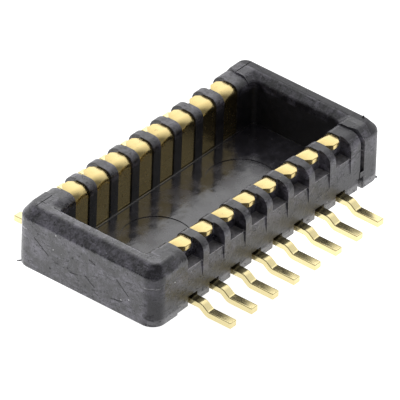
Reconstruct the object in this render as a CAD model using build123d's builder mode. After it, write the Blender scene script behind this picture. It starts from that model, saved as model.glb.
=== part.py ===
# Header half of a board to board connector: two rows of contacts round an open pocket.
# X runs along the rows, Y across them, Z up from the circuit board.
# The origin is on the board under the middle of the part, where the contact feet rest.
import os

from build123d import *

os.makedirs("parts", exist_ok=True)

# Contact grid
pitch = 0.50
columns = 8

# Housing, seen from above
end_margin = 0.95  # from the centre of the last contact to the end face
wall_margin = 0.41  # from the centre of the last contact to the end block
pocket_width = 1.67  # between the ribs of the two walls
wall_thickness = 0.515
block_proud = 0.01  # how far the end blocks stand out past the walls
end_wall_thickness = 0.40
corner_radius = 0.24
pocket_corner_radius = 0.08

# Housing, heights
standoff = 0.07  # gap between the board and the underside
floor_thickness = 0.18
wall_height = 0.85  # ribs above the pocket floor
block_rise = 0.03  # end blocks above the ribs

# Housing, edges
end_chamfer = 0.16
side_chamfer = 0.125
chamfer_height = 0.18
land_corner_radius = 0.13
lead_in = 0.105  # slope at the top of the pocket's end walls
rib_shoulder_radius = 0.20
rib_inner_radius = 0.15

# Strip along the foot of each wall, set back from its face
strip_setback = 0.035
strip_height = 0.24

# Wedge groove that parts each wall from the +X block, and the notch below it in the strip
groove_width = 0.08
groove_depth = 0.265  # in from the wall's outer face, where the wedge closes
groove_drop = 0.72  # from the block tops down to the groove's lower end
notch_depth = 0.10

# Slots behind the ribs, and the shallow panel under each
ledge_drop = 0.33  # ledge below the tops of the ribs
slot_gap = 0.02  # room on each side of the contact in the open slot
core_thickness = 0.165  # wall left between the blade and the slot
panel_depth = 0.03  # at the ledge, running out to nothing below
panel_height = 0.29
exit_gap = 0.03  # room round each tail where it leaves the wall
exit_depth = 0.08

# Round ejector marks in the pocket floor
mark_radius = 0.56
mark_spacing = 2.0
mark_depth = 0.01

# Contact, a stamped and formed strip
metal = 0.11
blade_width = 0.32
tail_width = 0.15
blade_setback = 0.02  # blade face behind the ribs' inner faces
crown_drop = 0.015  # crown below the tops of the ribs
crown_radius = 0.14
tab_width = 0.12
tab_overhang = 0.075  # tip of the crown past the wall's core
tab_taper = 0.10  # length over which the crown narrows to its tip
heel_radius = 0.15
leg_height = 0.10  # underside of the leg above the board
leg_reach = 0.145  # straight leg outside the wall's face
step_run = 0.135
step_radius = 0.06
foot_length = 0.475

# Places that several features share
row_length = (columns - 1) * pitch
housing_length = row_length + 2 * end_margin
wall_length = row_length + 2 * wall_margin
wall_end = wall_length / 2
rib_inner = pocket_width / 2
rib_outer = rib_inner + wall_thickness
block_width = 2 * (rib_outer + block_proud)
pocket_length = housing_length - 2 * end_wall_thickness
floor_top = standoff + floor_thickness
rib_top = floor_top + wall_height
block_top = rib_top + block_rise
chamfer_foot = block_top - chamfer_height
strip_face = rib_outer - strip_setback
strip_top = standoff + strip_height
ledge_top = rib_top - ledge_drop
blade_face = rib_inner + blade_setback
core_face = blade_face + metal + core_thickness
crown_top = rib_top - crown_drop
tab_end = core_face + tab_overhang
heel_end = blade_face + heel_radius
leg_top = leg_height + metal
step_start = rib_outer + leg_reach
foot_start = step_start + step_run
foot_end = foot_start + foot_length
clear = 1.0  # how far a cut runs past the part
column_places = [(number - (columns - 1) / 2) * pitch for number in range(columns)]

# The strip seen from the side: crown, blade, heel, leg, step and foot
strip_route = [
    (tab_end, crown_top),
    (blade_face, crown_top),
    (blade_face, leg_height),
    (step_start, leg_height),
    (foot_start, 0),
    (foot_end, 0),
]
strip_radii = [crown_radius, heel_radius, step_radius, step_radius + metal]

with BuildSketch(Plane.YZ) as strip_side:
    with BuildLine():
        FilletPolyline(*strip_route, radius=strip_radii)
        offset(amount=metal, side=Side.LEFT)
    make_face()

# What lies beside the tail when the strip narrows past its heel
with BuildSketch(Plane.XY.offset(leg_top)) as beside_tail:
    with Locations((0, heel_end + clear)):
        Rectangle(blade_width, 2 * clear)
        Rectangle(tail_width, 2 * clear, mode=Mode.SUBTRACT)

# One contact of the +Y row, at X = 0
with BuildPart() as contact:
    extrude(strip_side.sketch, amount=blade_width / 2, both=True)
    extrude(beside_tail.sketch, amount=-leg_top - clear, mode=Mode.SUBTRACT)
    # the crown narrows to its tip
    with BuildSketch(Plane.XY.offset(crown_top)):
        with BuildLine():
            Polyline(
                (blade_width / 2, tab_end - tab_taper),
                (tab_width / 2, tab_end),
                (blade_width / 2, tab_end),
                close=True,
            )
        make_face()
        mirror(about=Plane.YZ)
    extrude(amount=-metal, mode=Mode.SUBTRACT)

# What one contact of the +Y row takes out of the wall: its own form and the open slot
blade_middle = blade_face + metal / 2
crown_middle = crown_top - metal / 2
leg_middle = leg_height + metal / 2
with BuildPart() as slot:
    extrude(strip_side.sketch, amount=blade_width / 2, both=True)
    with BuildSketch(Plane.YZ):
        with BuildLine():
            Polyline(
                (0, floor_top),
                (blade_middle, floor_top),
                (blade_middle, crown_middle),
                (core_face, crown_middle),
                (core_face, block_top + clear),
                (0, block_top + clear),
                close=True,
            )
        make_face()
        with BuildLine():
            Polyline(
                (blade_face, leg_middle),
                (heel_end, leg_middle),
                (heel_end, -clear),
                (blade_face, -clear),
                close=True,
            )
        make_face()
    extrude(amount=blade_width / 2, both=True)
    extrude(beside_tail.sketch, amount=-leg_top - clear, mode=Mode.SUBTRACT)
    # open slot over the ledge, a little wider than the contact
    with BuildSketch(Plane.XY.offset(ledge_top)):
        with Locations((0, core_face + clear)):
            Rectangle(blade_width + 2 * slot_gap, 2 * clear)
    extrude(amount=block_top + clear - ledge_top)
    # groove for the tail, open below, and wider where the tail comes out
    with BuildSketch(Plane.XY.offset(leg_top)):
        with Locations((0, heel_end + clear)):
            Rectangle(tail_width, 2 * clear)
    extrude(amount=-leg_top - clear)
    with BuildSketch(Plane.XY.offset(leg_top + exit_gap)):
        with Locations((0, strip_face - exit_depth + clear)):
            Rectangle(tail_width + 2 * exit_gap, 2 * clear)
    extrude(amount=-leg_top - exit_gap - clear)
    # shallow panel in the wall's face under the slot
    with BuildSketch(Plane.YZ):
        with BuildLine():
            Polyline(
                (rib_outer, ledge_top - panel_height),
                (rib_outer - panel_depth, ledge_top),
                (rib_outer + clear, ledge_top),
                (rib_outer + clear, ledge_top - panel_height),
                close=True,
            )
        make_face()
    extrude(amount=blade_width / 2 + slot_gap, both=True)

# The housing
with BuildPart() as housing:
    # both end blocks as one body
    with BuildSketch(Plane.XY.offset(standoff)):
        RectangleRounded(housing_length, block_width, corner_radius)
    extrude(amount=chamfer_foot - standoff)
    with BuildSketch(Plane.XY.offset(chamfer_foot)):
        RectangleRounded(housing_length, block_width, corner_radius)
    with BuildSketch(Plane.XY.offset(block_top)):
        land_length = housing_length - 2 * end_chamfer
        land_width = block_width - 2 * side_chamfer
        RectangleRounded(land_length, land_width, land_corner_radius)
    loft(ruled=True)
    # pocket, with a slope round its top
    with BuildSketch(Plane.XY.offset(floor_top)):
        RectangleRounded(pocket_length, pocket_width, pocket_corner_radius)
    extrude(amount=block_top - floor_top, mode=Mode.SUBTRACT)
    with BuildSketch(Plane.XY.offset(block_top - lead_in)):
        RectangleRounded(pocket_length, pocket_width, pocket_corner_radius)
    with BuildSketch(Plane.XY.offset(block_top)):
        rim_length = pocket_length + 2 * lead_in
        rim_width = pocket_width + 2 * lead_in
        RectangleRounded(rim_length, rim_width, pocket_corner_radius)
    loft(ruled=True, mode=Mode.SUBTRACT)
    # the stretch between the blocks gives way to the section of the floor and walls
    with BuildSketch(Plane.XY.offset(standoff)):
        Rectangle(wall_length, block_width)
    extrude(amount=block_top - standoff, mode=Mode.SUBTRACT)
    with BuildSketch(Plane.YZ.offset(-wall_end)):
        with BuildLine():
            Polyline(
                (0, standoff),
                (strip_face, standoff),
                (strip_face, strip_top),
                (rib_outer, strip_top),
            )
            FilletPolyline(
                (rib_outer, strip_top),
                (rib_outer, rib_top),
                (rib_inner, rib_top),
                (rib_inner, floor_top),
                radius=[rib_shoulder_radius, rib_inner_radius],
            )
            Polyline((rib_inner, floor_top), (0, floor_top), (0, standoff))
        make_face()
        mirror(about=Plane.YZ)
    extrude(amount=wall_length)
    # between the walls and the +X block, a wedge groove and a notch below it
    groove_side = rib_outer - groove_depth
    with BuildSketch(Plane.XY.offset(block_top)):
        with BuildLine():
            Polyline(
                (wall_end, groove_side),
                (wall_end, rib_outer + groove_depth),
                (wall_end + 2 * groove_width, rib_outer + groove_depth),
                close=True,
            )
        make_face()
        mirror(about=Plane.XZ)
    extrude(amount=-groove_drop, mode=Mode.SUBTRACT)
    notch_side = strip_face - notch_depth
    with BuildSketch(Plane.XY.offset(strip_top)):
        with GridLocations(0, 2 * (notch_side + clear), 1, 2):
            with Locations((wall_end + groove_width / 2, 0)):
                Rectangle(groove_width, 2 * clear)
    extrude(amount=-strip_height, mode=Mode.SUBTRACT)
    # a slot and a groove for each contact
    for turn in (0, 180):
        with Locations(*[Location((x, 0, 0), (0, 0, turn)) for x in column_places]):
            add(slot.part, mode=Mode.SUBTRACT)
    # ejector marks
    with BuildSketch(Plane.XY.offset(floor_top)):
        with GridLocations(mark_spacing, 0, 2, 1):
            Circle(mark_radius)
    extrude(amount=-mark_depth, mode=Mode.SUBTRACT)

housing.part.label = "housing"
export_step(housing.part, "parts/housing.step")

# The rows of contacts: the front row is turned half round
for row, turn in (("front", 180), ("rear", 0)):
    for number, x in enumerate(column_places, start=1):
        with BuildPart() as placed_contact:
            with Locations(Location((x, 0, 0), (0, 0, turn))):
                add(contact.part)
        placed_contact.part.label = f"contact_{row}_{number}"
        export_step(placed_contact.part, f"parts/contact_{row}_{number}.step")
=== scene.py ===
import math

import bmesh
import bpy
from mathutils import Matrix, Vector


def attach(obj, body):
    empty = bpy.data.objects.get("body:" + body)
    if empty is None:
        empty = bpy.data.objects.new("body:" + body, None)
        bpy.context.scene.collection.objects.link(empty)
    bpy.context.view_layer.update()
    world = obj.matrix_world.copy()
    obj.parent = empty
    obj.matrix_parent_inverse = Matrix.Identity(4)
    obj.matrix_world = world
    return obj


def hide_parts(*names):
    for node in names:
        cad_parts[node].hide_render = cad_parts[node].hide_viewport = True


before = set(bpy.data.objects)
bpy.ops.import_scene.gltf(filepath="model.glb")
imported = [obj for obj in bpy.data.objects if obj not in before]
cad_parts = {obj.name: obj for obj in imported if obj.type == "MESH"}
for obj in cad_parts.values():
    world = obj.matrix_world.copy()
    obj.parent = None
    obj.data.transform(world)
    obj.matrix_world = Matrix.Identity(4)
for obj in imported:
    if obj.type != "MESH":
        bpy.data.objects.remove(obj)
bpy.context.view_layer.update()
print("frame loaded")

mm = 0.001  # pieces are worked in millimetres and scaled to metres at the end
past = 0.5  # how far a cut runs past the part
overlap = 0.02  # how far a cut starts inside the room of its neighbour
samePlace = 0.001  # millimetres
weldGap = 0.0004  # millimetres
flatAngle = 0.5  # degrees, below which neighbouring faces become one
roundAngle = 30  # degrees, above which an edge can be rounded
hardAngle = 38  # degrees, above which an edge is shaded hard


# Mesh helpers

def roundedLoop(bm, length, width, radius, height, steps):
    # a flat face with rounded corners
    corners = bmesh.ops.create_grid(bm, x_segments=1, y_segments=1, size=0.5)["verts"]
    bmesh.ops.scale(bm, vec=(length, width, 1), verts=corners)
    bmesh.ops.translate(bm, vec=(0, 0, height), verts=corners)
    made = bmesh.ops.bevel(bm, geom=corners, offset=radius, offset_type="OFFSET", segments=steps,
                           profile=0.5, affect="VERTICES", material=-1)
    face = made["verts"][0].link_faces[0]
    return list(face.edges), face


def stackedBody(rounds, steps):
    # rounded outlines bridged one above the other, and closed at both ends
    bm = bmesh.new()
    loops = [roundedLoop(bm, *each, steps) for each in rounds]
    for lower, upper in zip(loops, loops[1:]):
        bmesh.ops.bridge_loops(bm, edges=lower[0] + upper[0])
    bmesh.ops.delete(bm, geom=[face for edges, face in loops[1:-1]], context="FACES_ONLY")
    bmesh.ops.recalc_face_normals(bm, faces=bm.faces)
    return bm


def drawnOut(outline, along, rounds=None, steps=10):
    # a face with some corners rounded, drawn out along a vector
    bm = bmesh.new()
    corners = [bm.verts.new(point) for point in outline]
    bm.faces.new(corners)
    for radius, numbers in (rounds or {}).items():
        bmesh.ops.bevel(bm, geom=[corners[n] for n in numbers], offset=radius, offset_type="OFFSET",
                        segments=steps, profile=0.5, affect="VERTICES", material=-1)
    bm.faces.ensure_lookup_table()
    made = bmesh.ops.extrude_face_region(bm, geom=[bm.faces[0]])
    moved = [v for v in made["geom"] if isinstance(v, bmesh.types.BMVert)]
    bmesh.ops.translate(bm, vec=along, verts=moved)
    bmesh.ops.recalc_face_normals(bm, faces=bm.faces)
    return bm


def sideBody(points, half, rounds=None):
    # an outline of (y, z) points, drawn out along X to both sides
    return drawnOut([(-half, y, z) for y, z in points], (2 * half, 0, 0), rounds)


def boxBody(low, high):
    bm = bmesh.new()
    corners = bmesh.ops.create_cube(bm, size=1)["verts"]
    bmesh.ops.scale(bm, vec=[h - l for l, h in zip(low, high)], verts=corners)
    bmesh.ops.translate(bm, vec=[(l + h) / 2 for l, h in zip(low, high)], verts=corners)
    return bm


def copyOf(bm, move=(0, 0, 0), turn=0, flip=False):
    other = bm.copy()
    if flip:
        bmesh.ops.scale(other, vec=(1, -1, 1), verts=other.verts)
        bmesh.ops.reverse_faces(other, faces=other.faces)
    bmesh.ops.rotate(other, matrix=Matrix.Rotation(math.radians(turn), 3, "Z"), verts=other.verts)
    bmesh.ops.translate(other, vec=move, verts=other.verts)
    return other


def joined(bodies):
    # several bmeshes as one
    whole = bmesh.new()
    for body in bodies:
        mesh = bpy.data.meshes.new("part")
        body.to_mesh(mesh)
        body.free()
        whole.from_mesh(mesh)
        bpy.data.meshes.remove(mesh)
    return whole


def combined(bm, other, operation):
    # an exact boolean of two bmeshes
    things = []
    for source in (bm, other):
        mesh = bpy.data.meshes.new("operand")
        source.to_mesh(mesh)
        source.free()
        things.append(bpy.data.objects.new("operand", mesh))
        bpy.context.scene.collection.objects.link(things[-1])
    modifier = things[0].modifiers.new("cut", "BOOLEAN")
    modifier.object = things[1]
    modifier.operation = operation
    modifier.solver = "EXACT"
    graph = bpy.context.evaluated_depsgraph_get()
    result = bmesh.new()
    result.from_mesh(things[0].evaluated_get(graph).to_mesh())
    for thing in things:
        mesh = thing.data
        bpy.data.objects.remove(thing)
        bpy.data.meshes.remove(mesh)
    return result


def cleaned(bm):
    # merges doubles and dissolves flat seams
    bmesh.ops.remove_doubles(bm, verts=bm.verts, dist=weldGap)
    bmesh.ops.dissolve_limit(bm, angle_limit=math.radians(flatAngle), verts=bm.verts, edges=bm.edges)
    bm.normal_update()
    return bm


def softened(bm, radius, steps, chosen):
    # rounds the sharp edges that are chosen
    cleaned(bm)
    edges = [e for e in bm.edges if e.calc_face_angle(0) > math.radians(roundAngle) and chosen(e)]
    bmesh.ops.bevel(bm, geom=edges, offset=radius, offset_type="OFFSET", segments=steps, profile=0.5,
                    affect="EDGES", clamp_overlap=False, material=-1)
    return bm


def finished(bm, name, node, material):
    # weights the normals by face area, scales to metres, hangs the piece under the root body and hides the
    # CAD part it stands for
    bm.normal_update()
    for face in bm.faces:
        face.smooth = True
    for edge in bm.edges:
        edge.smooth = edge.calc_face_angle(0) < math.radians(hardAngle)
    draft = bpy.data.meshes.new("draft")
    bm.to_mesh(draft)
    bm.free()
    piece = bpy.data.objects.new(name, draft)
    bpy.context.scene.collection.objects.link(piece)
    piece.modifiers.new("faceWeights", "WEIGHTED_NORMAL").keep_sharp = True
    graph = bpy.context.evaluated_depsgraph_get()
    mesh = bpy.data.meshes.new_from_object(piece.evaluated_get(graph))
    piece.modifiers.clear()
    piece.data = mesh
    bpy.data.meshes.remove(draft)
    mesh.name = name
    mesh.transform(Matrix.Scale(mm, 4))
    mesh.materials.clear()
    mesh.materials.append(material)
    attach(piece, "root")
    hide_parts(node)
    return piece


# Shader helpers

noiseMiddle = 0.5


class Wire:
    def __init__(self, tree, socket=None):
        self.tree, self.socket = tree, socket

    def node(self, kind, settings=None, inputs=None, output=0):
        made = self.tree.nodes.new(kind)
        for name, value in (settings or {}).items():
            if name == "stops":
                elements = made.color_ramp.elements
                while len(elements) < len(value):
                    elements.new(0.5)
                for element, (place, grey) in zip(elements, value):
                    element.position, element.color = place, (grey, grey, grey, 1)
            else:
                setattr(made, name, value)
        for name, value in (inputs or {}).items():
            if isinstance(value, Wire):
                self.tree.links.new(value.socket, made.inputs[name])
            else:
                made.inputs[name].default_value = value
        return Wire(self.tree, made.outputs[output] if len(made.outputs) else None)

    def maths(self, operation, first, second=0.0):
        return self.node("ShaderNodeMath", {"operation": operation}, {0: first, 1: second})

    def vectors(self, operation, inputs, output=0):
        return self.node("ShaderNodeVectorMath", {"operation": operation}, inputs, output)

    def __add__(self, other):
        return self.maths("ADD", self, other)

    def __radd__(self, other):
        return self.maths("ADD", other, self)

    def __sub__(self, other):
        return self.maths("SUBTRACT", self, other)

    def __rsub__(self, other):
        return self.maths("SUBTRACT", other, self)

    def __mul__(self, other):
        return self.maths("MULTIPLY", self, other)

    def __rmul__(self, other):
        return self.maths("MULTIPLY", other, self)

    def __lt__(self, other):
        return self.maths("LESS_THAN", self, other)

    def __gt__(self, other):
        return self.maths("GREATER_THAN", self, other)

    def __abs__(self):
        return self.maths("ABSOLUTE", self)


def newMaterial(name):
    material = bpy.data.materials.new(name)
    material.use_nodes = True
    material.node_tree.nodes.clear()
    return material, Wire(material.node_tree)


def millimetres(start):
    # the place on the piece as a vector, and as x, y and z
    metres = start.node("ShaderNodeTexCoord", output=3)
    place = start.vectors("SCALE", {0: metres, "Scale": 1 / mm})
    return place, *(start.node("ShaderNodeSeparateXYZ", None, {"Vector": place}, n) for n in range(3))


def noise(start, place, scale, detail, stretch=(1, 1, 1), turn=(0, 0, 0)):
    # scale is in features per millimetre
    spread = start.node("ShaderNodeMapping", None,
                        {"Vector": place, "Rotation": turn, "Scale": [scale * s for s in stretch]})
    return start.node("ShaderNodeTexNoise", None, {"Vector": spread, "Scale": 1.0, "Detail": detail})


def ramp(start, value, stops):
    return start.node("ShaderNodeValToRGB", {"stops": stops}, {"Fac": value})


def fade(start, value, zeroAt, oneAt):
    return start.node("ShaderNodeMapRange", None, {"Value": value, 1: zeroAt, 2: oneAt})


def mixed(start, factor, first, second):
    return start.node("ShaderNodeMix", {"data_type": "RGBA"}, {0: factor, 6: first, 7: second}, 2)


def layered(start, colour, layers):
    # colours laid over one another, each as strongly as its mask
    for mask, over in layers:
        colour = mixed(start, mask, colour, over)
    return colour


def blend(shares, waves):
    return sum(wave * share for share, wave in zip(shares, waves))


def between(value, low, high):
    return (value > low) * (value < high)


# Contacts

# millimetres; the strip runs from the foot's tip, under the wall and up the pocket side to the crown
contact = {
    "pitch": 0.5, "columns": 8,
    "metal": 0.11, "bladeWidth": 0.32, "tailWidth": 0.15, "shoulder": 0.02,
    "footEnd": 2.105, "footStart": 1.63, "stepStart": 1.495, "legHeight": 0.10,
    "bladeFace": 0.855, "crownTop": 1.085, "coreFace": 1.13,
    "tabEnd": 1.205, "tabTaper": 0.10, "tabWidth": 0.12, "tabThin": 0.72,
    "crownRadius": 0.14, "heelRadius": 0.15, "stepRadius": 0.06, "bendSteps": 12,
    "bladeEdge": 0.008, "tailEdge": 0.016, "edgeSteps": 3,
    "insideWall": 1.2,  # where the tail's rounder edges give way to the blade's
}

# places in millimetres; each noise as features per millimetre and detail
gold = {
    "deep": (0.56, 0.43, 0.175, 1), "bright": (0.72, 0.59, 0.29, 1), "dull": (0.36, 0.28, 0.14, 1),
    "tail": (0.79, 0.69, 0.38, 1), "tailShare": 0.9, "tailStart": 1.3,
    "cloud": (4.0, 4.0), "grain": (32.0, 3.0), "streak": (14.0, 2.0), "streakStretch": (1, 0.06, 0.06),
    "spot": (12.0, 3.0), "spotStops": ((0.0, 0), (0.60, 0), (0.72, 1), (1.0, 1)), "spotShare": 0.35,
    "rough": 0.24, "roughSwing": 0.16, "tailRough": 0.2, "spotRough": 0.12,
    "reliefShares": (0.6, 0.8),  # of grain and streaks
    "relief": 0.00033, "tailCalm": 0.6,  # the tail is smoother
    "dome": (0.90, 1.02), "domeRadius": 0.4,  # from this height up the strip is rounded across
}


def contactGold(g, c):
    material, start = newMaterial("contactGold")
    place, x, y, z = millimetres(start)
    cloud = noise(start, place, *g["cloud"])
    grain = noise(start, place, *g["grain"])
    streak = noise(start, place, *g["streak"], g["streakStretch"])
    spots = ramp(start, noise(start, place, *g["spot"]), g["spotStops"])
    tail = abs(y) > g["tailStart"]
    colour = layered(start, mixed(start, cloud, g["deep"], g["bright"]), [
        (spots * g["spotShare"], g["dull"]),
        (tail * g["tailShare"], g["tail"]),
    ])
    rough = g["rough"] + tail * (g["tailRough"] - g["rough"])
    rough = rough + (cloud - noiseMiddle) * g["roughSwing"] + spots * g["spotRough"]
    # across the strip, measured from the middle of its own column
    across = (start.maths("FRACT", x * (1 / c["pitch"])) - 0.5) * c["pitch"]
    dome = across * across * fade(start, z, *g["dome"]) * (0.5 / g["domeRadius"])
    relief = blend(g["reliefShares"], (grain, streak)) * (1 - tail * g["tailCalm"]) * g["relief"] - dome
    bump = start.node("ShaderNodeBump", None, {"Height": relief, "Strength": 1.0, "Distance": mm})
    shader = start.node("ShaderNodeBsdfPrincipled", None,
                        {"Base Color": colour, "Roughness": rough, "Metallic": 1.0, "Normal": bump})
    start.node("ShaderNodeOutputMaterial", None, {"Surface": shader})
    return material


def stripBody(c):
    # walks the end face of the strip from the foot's tip to the crown
    bm = bmesh.new()
    corners = bmesh.ops.create_grid(bm, x_segments=1, y_segments=1, size=0.5)["verts"]
    bmesh.ops.scale(bm, vec=(c["tailWidth"], c["metal"], 1), verts=corners)
    bmesh.ops.rotate(bm, matrix=Matrix.Rotation(math.radians(90), 3, "X"), verts=corners)
    bmesh.ops.translate(bm, vec=(0, c["footEnd"], c["metal"] / 2), verts=corners)
    tip = corners[0].link_faces[0]

    def ahead(face, made):
        # the new end face; the one behind it goes, but the foot's tip stays
        if face is not tip:
            bmesh.ops.delete(bm, geom=[face], context="FACES_ONLY")
        return next(g for g in made if isinstance(g, bmesh.types.BMFace) and g.is_valid)

    def run(face, heading, length, widen=1, thin=1):
        face = ahead(face, bmesh.ops.extrude_face_region(bm, geom=[face])["geom"])
        bmesh.ops.translate(bm, vec=heading * length, verts=face.verts)
        top = max(v.co.z for v in face.verts)
        bmesh.ops.scale(bm, vec=(widen, 1, thin), space=Matrix.Translation((0, 0, -top)), verts=face.verts)
        return face

    def bend(face, centre, angle):
        made = bmesh.ops.spin(bm, geom=[face], cent=centre, axis=(1, 0, 0), angle=angle,
                              steps=c["bendSteps"], use_duplicate=False)
        return ahead(face, made["geom_last"])

    route = [(c["footEnd"], 0), (c["footStart"], 0),
             (c["stepStart"], c["legHeight"]), (c["bladeFace"], c["legHeight"]),
             (c["bladeFace"], c["crownTop"]), (c["tabEnd"], c["crownTop"])]
    route = [Vector((0, y, z)) for y, z in route]
    radii = [c["stepRadius"] + c["metal"], c["stepRadius"], c["heelRadius"], c["crownRadius"]]
    heel = radii.index(c["heelRadius"])
    face, used = tip, 0
    for number, radius in enumerate(radii):
        before, corner, after = route[number:number + 3]
        heading, leaving = (corner - before).normalized(), (after - corner).normalized()
        turn = heading.angle(leaving)
        side = 1 if heading.cross(leaving).x > 0 else -1
        tangent = radius * math.tan(turn / 2)
        shoulder = c["shoulder"] if number == heel else 0  # the strip widens just before its heel
        face = run(face, heading, (corner - before).length - used - tangent - shoulder)
        if shoulder:
            face = run(face, heading, shoulder, c["bladeWidth"] / c["tailWidth"])
        inward = Vector((1, 0, 0)).cross(heading) * side
        face = bend(face, corner - heading * tangent + inward * radius, turn * side)
        used = tangent
    heading = (route[-1] - route[-2]).normalized()
    face = run(face, heading, (route[-1] - route[-2]).length - used - c["tabTaper"])
    run(face, heading, c["tabTaper"], c["tabWidth"] / c["bladeWidth"], c["tabThin"])
    bmesh.ops.recalc_face_normals(bm, faces=bm.faces)
    border = c["insideWall"]
    softened(bm, c["tailEdge"], c["edgeSteps"], lambda edge: min(v.co.y for v in edge.verts) > border)
    return softened(bm, c["bladeEdge"], c["edgeSteps"],
                    lambda edge: max(v.co.y for v in edge.verts) < border)


columnPlaces = [(n - (contact["columns"] - 1) / 2) * contact["pitch"] for n in range(contact["columns"])]
platedGold = contactGold(gold, contact)
strip = stripBody(contact)
for row, turn in (("front", 180), ("rear", 0)):
    for number, x in enumerate(columnPlaces, start=1):
        finished(copyOf(strip, (x, 0, 0), turn), f"contact{row.capitalize()}{number}",
                 f"contact_{row}_{number}", platedGold)
strip.free()
print("contacts built")


# Housing

# millimetres
housing = {
    "length": 5.40, "width": 2.72, "bottom": 0.07, "top": 1.13,
    "cornerRadius": 0.24, "cornerSteps": 12,
    "chamferFoot": 0.95, "endChamfer": 0.16, "sideChamfer": 0.125, "landRadius": 0.13,
    "pocketLength": 4.60, "pocketWidth": 1.67, "pocketRadius": 0.08, "floorTop": 0.25, "leadIn": 0.105,
    "wallEnd": 2.16, "ribInner": 0.835, "ribOuter": 1.35, "ribTop": 1.10,
    "ribShoulder": 0.20, "ribInnerRadius": 0.15,
    "stripFace": 1.315, "stripTop": 0.31,
    "grooveWidth": 0.08, "grooveSide": 1.085, "grooveReach": 1.615, "grooveFoot": 0.41, "notchSide": 1.215,
    "ledge": 0.77, "slotGap": 0.02, "slotReach": 0.1, "panelFace": 1.32, "panelFoot": 0.48,
    "exitGap": 0.03, "exitSide": 1.235,
    "markRadius": 0.56, "markPlace": 1.0, "markDepth": 0.01, "markSteps": 96,
    "edgeRadius": 0.0095, "edgeSteps": 2, "blockEdge": 0.03, "blockSteps": 3,
    # thin flash where the floor meets the rear wall, a little short of the pocket's ends
    "beadFace": 0.822, "beadTop": 0.263, "beadSink": 0.01, "beadShort": 0.05,
    # mould line on the rear corners
    "seamPlace": 1.087, "seamWidth": 0.014, "seamDepth": 0.012, "seamLength": 0.4,
    # flash left at the corners: root, direction, radius and length
    "flash": (
        ((2.50, -1.10, 1.10), (0.25, -0.1, 1), 0.03, 0.058),
        ((2.57, -1.27, 0.09), (0.45, -0.9, 0), 0.03, 0.08),
        ((-2.60, 1.26, 0.085), (-1, 0.9, 0.1), 0.02, 0.105),
    ),
    "flashSides": 10, "flashTaper": 0.45,
}

# places in millimetres; each noise as features per millimetre and detail
plastic = {
    "dark": (0.008, 0.0073, 0.0115, 1), "light": (0.112, 0.105, 0.135, 1),
    # the pale colour is used only for painted light: the foot band, the glints and the bead's highlight
    "paintedLightTone": (0.30, 0.30, 0.31, 1), "chip": (0.48, 0.48, 0.48, 1),
    "cloud": (2.4, 5.0), "mottle": (7.6, 4.0), "grain": (30.0, 3.0), "smoke": (2.2, 2.5),
    "flow": (7.0, 4.0), "flowStretch": (0.3, 1, 1),
    "toneShares": (0.25, 0.45, 0.1, 0.2),  # of clouds, mottle, flow and grain
    "toneStops": ((0.0, 0), (0.44, 0), (0.60, 1), (1.0, 1)),
    "rough": 0.34, "roughSwing": 0.42, "roughAlong": 0.045,  # rougher towards +X
    "roughShares": (0.6, 0.4),  # of mottle and flow
    "ior": 1.75,
    "relief": 0.008,
    "reliefShares": (0.5, 0.8, 0.9, 0.3, -0.4, -0.3),  # of grain, flow, mottle, specks, pits and marks
    "chipRelief": 0.8, "lineRelief": 0.9,
    # thin marks where stretched noises cross their middle, broken up by the mottle
    "scratch": (3.6, 1.0), "scratchStretch": (0.5, 0.35, 1.6), "scratchTurns": (0.9, -0.6, 0.1),
    "scratchWidth": 0.018, "scratchLeast": 0.53, "scratchShare": 0.6,
    # pale specks are painted glints, with a small bump
    "speck": (15.0, 2.0), "speckLeast": 0.755, "glintShare": 0.8,
    "pit": (20.0, 1.0), "pitMost": 0.315, "pitShare": 0.7,
    # the long outer sides, by height: painted light at the foot and painted shade under the panels
    "sideStart": 1.2, "sideRough": 0.05,
    "footFade": (0.22, 0.17), "footPaintedLight": 0.55,
    "panelShadeStops": ((0.0, 0), (0.19, 0), (0.22, 0.6), (0.36, 0.85), (0.52, 0.72), (0.66, 0.1), (1.0, 0)),
    # the tops of the +X block and of the front ribs get painted shade and more roughness: their side,
    # height, share of painted shade and roughness
    "blockSide": 2.41, "blockTop": 0.97, "blockPaintedShade": 0.8, "blockRough": 0.2,
    "ribSide": -0.95, "ribTop": 1.06, "ribPaintedShade": 0.7, "ribRough": 0.12,
    # pocket walls and floor: half length, half width and top; the pocket walls get painted shade
    "wallBox": (2.31, 0.85, 0.90), "wallPaintedShade": 0.8, "wallCalm": 0.8,
    "floorBox": (2.3, 0.835, 0.262),
    "floorDark": (0.008, 0.0075, 0.0095, 1), "floorLight": (0.060, 0.056, 0.070, 1),
    "floorTones": (0.5, 0.4),  # of tone and smoke
    "floorRough": 0.12, "floorSwing": 1.0, "floorMiddle": 0.45, "floorRelief": 1.5,
    "floorShares": (0.45, 0.35, 0.2),  # of clouds, smoke and mottle
    # flash along the rear wall: inner and outer side, foot and top, and where its painted highlight fades
    # out
    "beadSides": (0.81, 0.84), "beadHeights": (0.252, 0.275), "beadHighlightFade": (1.8, 0.6), "beadHighlightShare": 0.5,
    # ledges behind the contacts, which get painted light: inner and outer side, and heights
    "ledgeSides": (1.13, 1.34), "ledgeHeights": (0.758, 0.782),
    "ledgePaintedLight": (0.31, 0.30, 0.32, 1), "ledgeSwing": 0.6,
    # the upright corner nearest the front gets painted shade, a mix towards the dull shader, by x + y; the
    # marks and the dark patches are dulled the same way
    "cornerFade": (-3.79, -3.90), "cornerPaintedShade": 0.38,
    "lineShade": 0.5, "scratchShade": 0.10, "pitShade": 0.22, "toneShade": 0.05,
    "dullRough": 0.9, "dullSpecular": 0.1,
}

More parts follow.
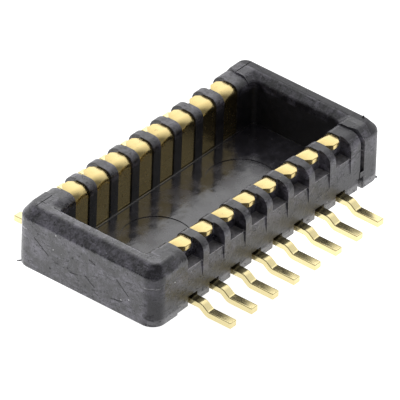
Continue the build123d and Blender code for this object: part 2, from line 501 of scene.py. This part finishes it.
# marks seen on the outside, in millimetres
wear = {
    "lines": (
        ((-2.7, -0.613, 0.669), (-2.7, -0.844, 0.473)), ((-2.7, -0.512, 0.286), (-2.7, -0.721, 0.323)),
        ((-2.7, -0.007, 0.457), (-2.7, -0.189, 0.330)), ((-2.7, -0.078, 0.780), (-2.7, -0.191, 0.742)),
        ((-2.7, 0.986, 0.687), (-2.7, 0.706, 0.485)), ((-2.7, 0.282, 0.380), (-2.7, 0.137, 0.403)),
        ((-2.4, 1.02, 1.13), (-2.4, 1.12, 1.13)),
    ),
    "lineHalf": 0.009,
    "chips": ((-2.7, -0.703, 0.346), (-2.7, -0.853, 0.417), (-2.7, 0.614, 0.635), (-2.7, 0.573, 0.914),
              (-2.246, -1.36, 0.736)),
    "chipHalf": 0.013,
    "pocks": ((-2.7, 0.242, 0.659), (-2.7, 0.332, 0.434), (-2.7, 0.667, 0.274)),
    "pockHalf": 0.018,
}


def nearLines(start, place, ends, half):
    # 1 within a distance of any of the lines between two points
    found = 0
    for first, last in ends:
        way = Vector(last) - Vector(first)
        gap = start.vectors("SUBTRACT", {0: place, 1: first})
        along = start.vectors("DOT_PRODUCT", {0: gap, 1: way / way.length_squared}, 1)
        along = start.node("ShaderNodeClamp", None, {"Value": along})
        foot = start.vectors("SCALE", {0: way, "Scale": along})
        found = found + (start.vectors("DISTANCE", {0: gap, 1: foot}, 1) < half)
    return found


def nearPoints(start, place, points, half):
    # 1 within a distance of any of the points
    return sum(start.vectors("DISTANCE", {0: place, 1: point}, 1) < half for point in points)


def mouldedPlastic(p, w):
    material, start = newMaterial("mouldedPlastic")
    place, x, y, z = millimetres(start)
    cloud = noise(start, place, *p["cloud"])
    mottle = noise(start, place, *p["mottle"])
    grain = noise(start, place, *p["grain"])
    smoke = noise(start, place, *p["smoke"])
    flow = noise(start, place, *p["flow"], p["flowStretch"])
    tone = ramp(start, blend(p["toneShares"], (cloud, mottle, flow, grain)), p["toneStops"])
    glintSpecks = noise(start, place, *p["speck"]) > p["speckLeast"]
    pits = noise(start, place, *p["pit"]) < p["pitMost"]
    scratches = 0
    for turn in p["scratchTurns"]:
        wave = noise(start, place, *p["scratch"], p["scratchStretch"], (turn, 0, turn))
        scratches = scratches + (abs(wave - noiseMiddle) < p["scratchWidth"]) * (mottle > p["scratchLeast"])
    chips = nearPoints(start, place, w["chips"], w["chipHalf"])
    marks = nearLines(start, place, w["lines"], w["lineHalf"])
    marks = marks + nearPoints(start, place, w["pocks"], w["pockHalf"])

    floor, pocketWall = ((abs(x) < p[box][0]) * (abs(y) < p[box][1]) * (z < p[box][2])
                         for box in ("floorBox", "wallBox"))
    side = abs(y) > p["sideStart"]
    blockTop = (x > p["blockSide"]) * (z > p["blockTop"])
    ribTops = (y < p["ribSide"]) * (z > p["ribTop"]) * (abs(x) < p["floorBox"][0])
    bead = between(y, *p["beadSides"]) * between(z, *p["beadHeights"]) * (abs(x) < p["floorBox"][0])
    ledges = between(abs(y), *p["ledgeSides"]) * between(z, *p["ledgeHeights"])

    floorColour = mixed(start, blend(p["floorTones"], (tone, smoke)), p["floorDark"], p["floorLight"])
    colour = layered(start, mixed(start, tone, p["dark"], p["light"]), [
        # painted shade on the tops of the +X block and of the front ribs
        (blockTop * p["blockPaintedShade"] + ribTops * p["ribPaintedShade"], p["dark"]),
        # painted light at the foot of the long sides
        (side * fade(start, z, *p["footFade"]) * p["footPaintedLight"], p["paintedLightTone"]),
        # painted shade under the panels of the long sides
        (side * ramp(start, z, p["panelShadeStops"]), p["dark"]),
        # pale specks painted as glints
        (glintSpecks * p["glintShare"], p["paintedLightTone"]),
        (chips, p["chip"]),
        (marks, p["dark"]),
        (scratches * p["scratchShare"], p["dark"]),
        (pits * p["pitShare"], p["dark"]),
        # painted shade on the pocket walls
        (pocketWall * p["wallPaintedShade"], p["floorDark"]),
        (floor, floorColour),
        # painted highlight on the flash bead along the rear wall, fading out towards +X
        (bead * fade(start, x, *p["beadHighlightFade"]) * p["beadHighlightShare"], p["paintedLightTone"]),
        # painted light on the ledges behind the contacts
        (ledges * (tone * p["ledgeSwing"] + (1 - p["ledgeSwing"])), p["ledgePaintedLight"]),
    ])

    rough = p["rough"] + (blend(p["roughShares"], (mottle, flow)) - noiseMiddle) * p["roughSwing"]
    rough = rough + x * p["roughAlong"] + side * p["sideRough"]
    rough = rough + blockTop * p["blockRough"] + ribTops * p["ribRough"]
    swing = abs(blend(p["floorShares"], (cloud, smoke, mottle)) - p["floorMiddle"]) * p["floorSwing"]
    rough = rough * (1 - floor) + floor * (p["floorRough"] + swing)

    relief = blend(p["reliefShares"], (grain, flow, mottle, glintSpecks, pits, scratches))
    relief = relief + chips * p["chipRelief"] - marks * p["lineRelief"]
    relief = relief * (1 - pocketWall * p["wallCalm"]) * (1 - floor) + floor * smoke * p["floorRelief"]
    bump = start.node("ShaderNodeBump", None,
                      {"Height": relief, "Strength": 1.0, "Distance": p["relief"] * mm})
    shiny = start.node("ShaderNodeBsdfPrincipled", None,
                       {"Base Color": colour, "Roughness": rough, "IOR": p["ior"], "Normal": bump})
    dull = start.node("ShaderNodeBsdfPrincipled", None,
                      {"Base Color": p["dark"], "Roughness": p["dullRough"],
                       "Specular IOR Level": p["dullSpecular"]})
    shade = marks * p["lineShade"] + scratches * p["scratchShade"] + pits * p["pitShade"]
    # painted shade: the upright corner nearest the front is mixed towards the dull dark shader
    corner = fade(start, x + y, *p["cornerFade"]) * (z < p["blockTop"])
    shade = shade + (1 - tone) * p["toneShade"] + corner * p["cornerPaintedShade"]
    surface = start.node("ShaderNodeMixShader", None, {0: shade * (1 - pocketWall), 1: shiny, 2: dull})
    start.node("ShaderNodeOutputMaterial", None, {"Surface": surface})
    return material


def trayBody(h):
    # end blocks and pocket as one tray
    outside = (h["length"], h["width"], h["cornerRadius"])
    land = (h["length"] - 2 * h["endChamfer"], h["width"] - 2 * h["sideChamfer"], h["landRadius"])
    pocket = (h["pocketLength"], h["pocketWidth"], h["pocketRadius"])
    rim = (h["pocketLength"] + 2 * h["leadIn"], h["pocketWidth"] + 2 * h["leadIn"], h["pocketRadius"])
    block = stackedBody([(*outside, h["bottom"]), (*outside, h["chamferFoot"]), (*land, h["top"])],
                        h["cornerSteps"])
    hollow = stackedBody([(*pocket, h["floorTop"]), (*pocket, h["top"] - h["leadIn"]), (*rim, h["top"]),
                          (*rim, h["top"] + past)], h["cornerSteps"])
    tray = combined(block, hollow, "DIFFERENCE")
    return softened(tray, h["blockEdge"], h["blockSteps"], lambda edge: edge.is_convex)


def wallBody(h):
    # the section of the floor and the two walls
    side = [(h["stripFace"], h["bottom"]), (h["stripFace"], h["stripTop"]), (h["ribOuter"], h["stripTop"]),
            (h["ribOuter"], h["ribTop"]), (h["ribInner"], h["ribTop"]), (h["ribInner"], h["floorTop"])]
    other = [(-y, z) for y, z in reversed(side)]
    return sideBody(side + other, h["wallEnd"], {h["ribShoulder"]: (3, 8), h["ribInnerRadius"]: (4, 7)})


def slotCutters(h, c):
    # what one contact of the rear row takes out of the wall
    blade, tail = c["bladeWidth"] / 2, c["tailWidth"] / 2
    wide, outlet = blade + h["slotGap"], tail + h["exitGap"]
    blank = c["bladeFace"] + c["metal"]
    seat = c["crownTop"] - c["metal"]
    inside, outside = h["ribInner"] - h["slotReach"], h["ribOuter"] + past
    over = h["top"] + past
    legTop = c["legHeight"] + c["metal"]
    panelTop = h["ledge"] + overlap
    return (
        sideBody([(inside, h["floorTop"]), (c["bladeFace"], h["floorTop"]), (c["bladeFace"], -past),
                  (blank, -past), (blank, seat), (outside, seat), (outside, over), (inside, over)], blade),
        boxBody((-wide, c["coreFace"], h["ledge"]), (wide, outside, over)),
        sideBody([(h["ribOuter"], h["panelFoot"]), (h["panelFace"], h["ledge"]), (h["panelFace"], panelTop),
                  (outside, panelTop), (outside, h["panelFoot"])], wide),
        boxBody((-tail, blank - overlap, -past), (tail, outside, legTop)),
        boxBody((-outlet, h["exitSide"], -past), (outlet, outside, legTop + h["exitGap"])),
    )


def beadBody(h):
    # the thin flash along the foot of the rear wall
    foot, top = h["floorTop"] - overlap, h["beadTop"]
    face, back = h["beadFace"], h["ribInner"] + h["beadSink"]
    return sideBody([(face, foot), (face, top), (back, top), (back, foot)],
                    h["pocketLength"] / 2 - h["beadShort"])


def grooveCutters(h):
    # wedge groove and notch between the walls and the +X block
    end, reach, foot = h["wallEnd"], h["grooveReach"], h["grooveFoot"]
    wedge = drawnOut([(end, h["grooveSide"], foot), (end, reach, foot),
                      (end + 2 * h["grooveWidth"], reach, foot)], (0, 0, h["top"] - foot + past))
    notch = boxBody((end, h["notchSide"], h["bottom"] - past),
                    (end + h["grooveWidth"], reach, h["stripTop"]))
    return [joined([cutter, copyOf(cutter, flip=True)]) for cutter in (wedge, notch)]


def seamCutter(h):
    # the mould line on both rear corners
    low = (0, h["seamPlace"], h["top"] - h["seamDepth"])
    high = (h["seamLength"], h["seamPlace"] + h["seamWidth"], h["top"] + past)
    seam = boxBody(low, high)
    seams = joined([copyOf(seam, (x, 0, 0)) for x in (-h["wallEnd"] - h["seamLength"], h["wallEnd"])])
    seam.free()
    return seams


def ejectorMarks(h):
    # two shallow rounds in the pocket floor
    marks = []
    for x in (-h["markPlace"], h["markPlace"]):
        mark = bmesh.new()
        bmesh.ops.create_cone(mark, cap_ends=True, segments=h["markSteps"], radius1=h["markRadius"],
                              radius2=h["markRadius"], depth=2 * h["markDepth"])
        bmesh.ops.translate(mark, vec=(x, 0, h["floorTop"]), verts=mark.verts)
        marks.append(mark)
    return joined(marks)


def flashNubs(h):
    nubs = []
    for root, way, radius, length in h["flash"]:
        nub = bmesh.new()
        turn = Vector(way).to_track_quat("Z", "Y").to_matrix().to_4x4()
        stand = Matrix.Translation(root) @ turn @ Matrix.Translation((0, 0, length / 2))
        bmesh.ops.create_cone(nub, cap_ends=True, segments=h["flashSides"], radius1=radius,
                              radius2=radius * h["flashTaper"], depth=length, matrix=stand)
        nubs.append(nub)
    return nubs


def housingBody(h, c):
    stretch = boxBody((-h["wallEnd"], -h["width"], h["bottom"] - past),
                      (h["wallEnd"], h["width"], h["top"] + past))
    bm = combined(trayBody(h), stretch, "DIFFERENCE")
    bm = combined(bm, wallBody(h), "UNION")
    for cutter in slotCutters(h, c):
        both = [copyOf(cutter, (x, 0, 0), 0, flip) for x in columnPlaces for flip in (False, True)]
        cutter.free()
        bm = combined(bm, joined(both), "DIFFERENCE")

    def rounded(edge):
        # all but the corners between walls and blocks, and the edges that run out at the panels' feet
        ends = [v.co for v in edge.verts]
        atEnd = all(abs(abs(place.x) - h["wallEnd"]) < samePlace for place in ends)
        return not atEnd and min(abs(place.z - h["panelFoot"]) for place in ends) > samePlace

    bm = softened(bm, h["edgeRadius"], h["edgeSteps"], rounded)
    bm = combined(bm, beadBody(h), "UNION")
    for cutter in (*grooveCutters(h), seamCutter(h), ejectorMarks(h)):
        bm = combined(bm, cutter, "DIFFERENCE")
    return joined([cleaned(bm), *flashNubs(h)])


mouldedBlack = mouldedPlastic(plastic, wear)
housingBlock = finished(housingBody(housing, contact), "housingBlock", "housing", mouldedBlack)
print("housing built:", len(housingBlock.data.polygons), "faces")


# Camera

cameraSettings = {
    "azimuth": -51.76, "elevation": 35.22, "roll": 2.0,  # degrees
    "distance": 222, "aim": (0, -0.037, 0.5), "slide": (-0.0251, -0.0590),  # millimetres
    "pixelsPerMm": 66.64, "imagePixels": 400, "sensor": 36,
    "clip": (0.01, 10),  # metres
}


def photoCamera(c):
    a, e, roll = (math.radians(c[k]) for k in ("azimuth", "elevation", "roll"))
    back = Vector((math.sin(a) * math.cos(e), -math.cos(a) * math.cos(e), math.sin(e)))
    right = Vector((math.cos(a), math.sin(a), 0))
    up = back.cross(right)
    rolledRight = math.cos(roll) * right + math.sin(roll) * up
    rolledUp = math.cos(roll) * up - math.sin(roll) * right
    aim = Vector(c["aim"]) + rolledRight * c["slide"][0] + rolledUp * c["slide"][1]
    data = bpy.data.cameras.new("photoCamera")
    data.sensor_width = c["sensor"]
    data.lens = c["pixelsPerMm"] * c["distance"] * c["sensor"] / c["imagePixels"]
    data.clip_start, data.clip_end = c["clip"]
    camera = bpy.data.objects.new("photoCamera", data)
    turn = Matrix((rolledRight, rolledUp, back)).transposed().to_4x4()
    camera.matrix_world = Matrix.Translation((aim + back * c["distance"]) * mm) @ turn
    bpy.context.scene.collection.objects.link(camera)
    bpy.context.scene.camera = camera


photoCamera(cameraSettings)


# Floor and light

studio = {
    "floorSize": 1.0, "floorColour": (0.3, 0.3, 0.3, 1), "floorRough": 0.9, "floorGlow": 2.0,
    # the floor's glow, from the side away from its dim side to the dim side; dimmest towards the front
    # left, as a painted shadow of the part
    "paintedShadowSide": (-0.70, -0.71, 0.0),
    "floorStops": ((0.0, 0.52), (0.2, 0.56), (0.4, 0.64), (0.73, 0.66), (0.86, 0.60), (1.0, 0.50)),
    # the soft light comes from behind the part, on its right
    "brightSide": (0.69, 0.65, 0.31),
    "skyGlow": 2.0, "skyStops": ((0.0, 0.10), (0.42, 0.10), (1.0, 0.92)),
}


def facing(start, place, side):
    # 1 towards the side, 0 away from it
    way = start.vectors("NORMALIZE", {0: place})
    return start.vectors("DOT_PRODUCT", {0: way, 1: Vector(side).normalized()}, 1) * 0.5 + 0.5


def studioRoom(s):
    bm = bmesh.new()
    bmesh.ops.create_grid(bm, x_segments=1, y_segments=1, size=s["floorSize"])
    mesh = bpy.data.meshes.new("floor")
    bm.to_mesh(mesh)
    bm.free()
    floor = bpy.data.objects.new("floor", mesh)
    bpy.context.scene.collection.objects.link(floor)
    material, start = newMaterial("paleFloor")
    place = start.node("ShaderNodeTexCoord", output=3)
    # painted shadow: the floor's glow dims towards the front left
    glow = ramp(start, facing(start, place, s["paintedShadowSide"]), s["floorStops"])
    shader = start.node("ShaderNodeBsdfPrincipled", None,
                        {"Base Color": s["floorColour"], "Roughness": s["floorRough"],
                         "Emission Color": glow, "Emission Strength": s["floorGlow"]})
    start.node("ShaderNodeOutputMaterial", None, {"Surface": shader})
    mesh.materials.append(material)
    world = bpy.data.worlds.new("studioWorld")
    world.use_nodes = True
    world.node_tree.nodes.clear()
    start = Wire(world.node_tree)
    shade = ramp(start, facing(start, start.node("ShaderNodeTexCoord"), s["brightSide"]), s["skyStops"])
    light = start.node("ShaderNodeBackground", None, {"Color": shade, "Strength": s["skyGlow"]})
    start.node("ShaderNodeOutputWorld", None, {"Surface": light})
    bpy.context.scene.world = world


studioRoom(studio)
bpy.context.scene.view_settings.view_transform = "Standard"
print("camera and light set")
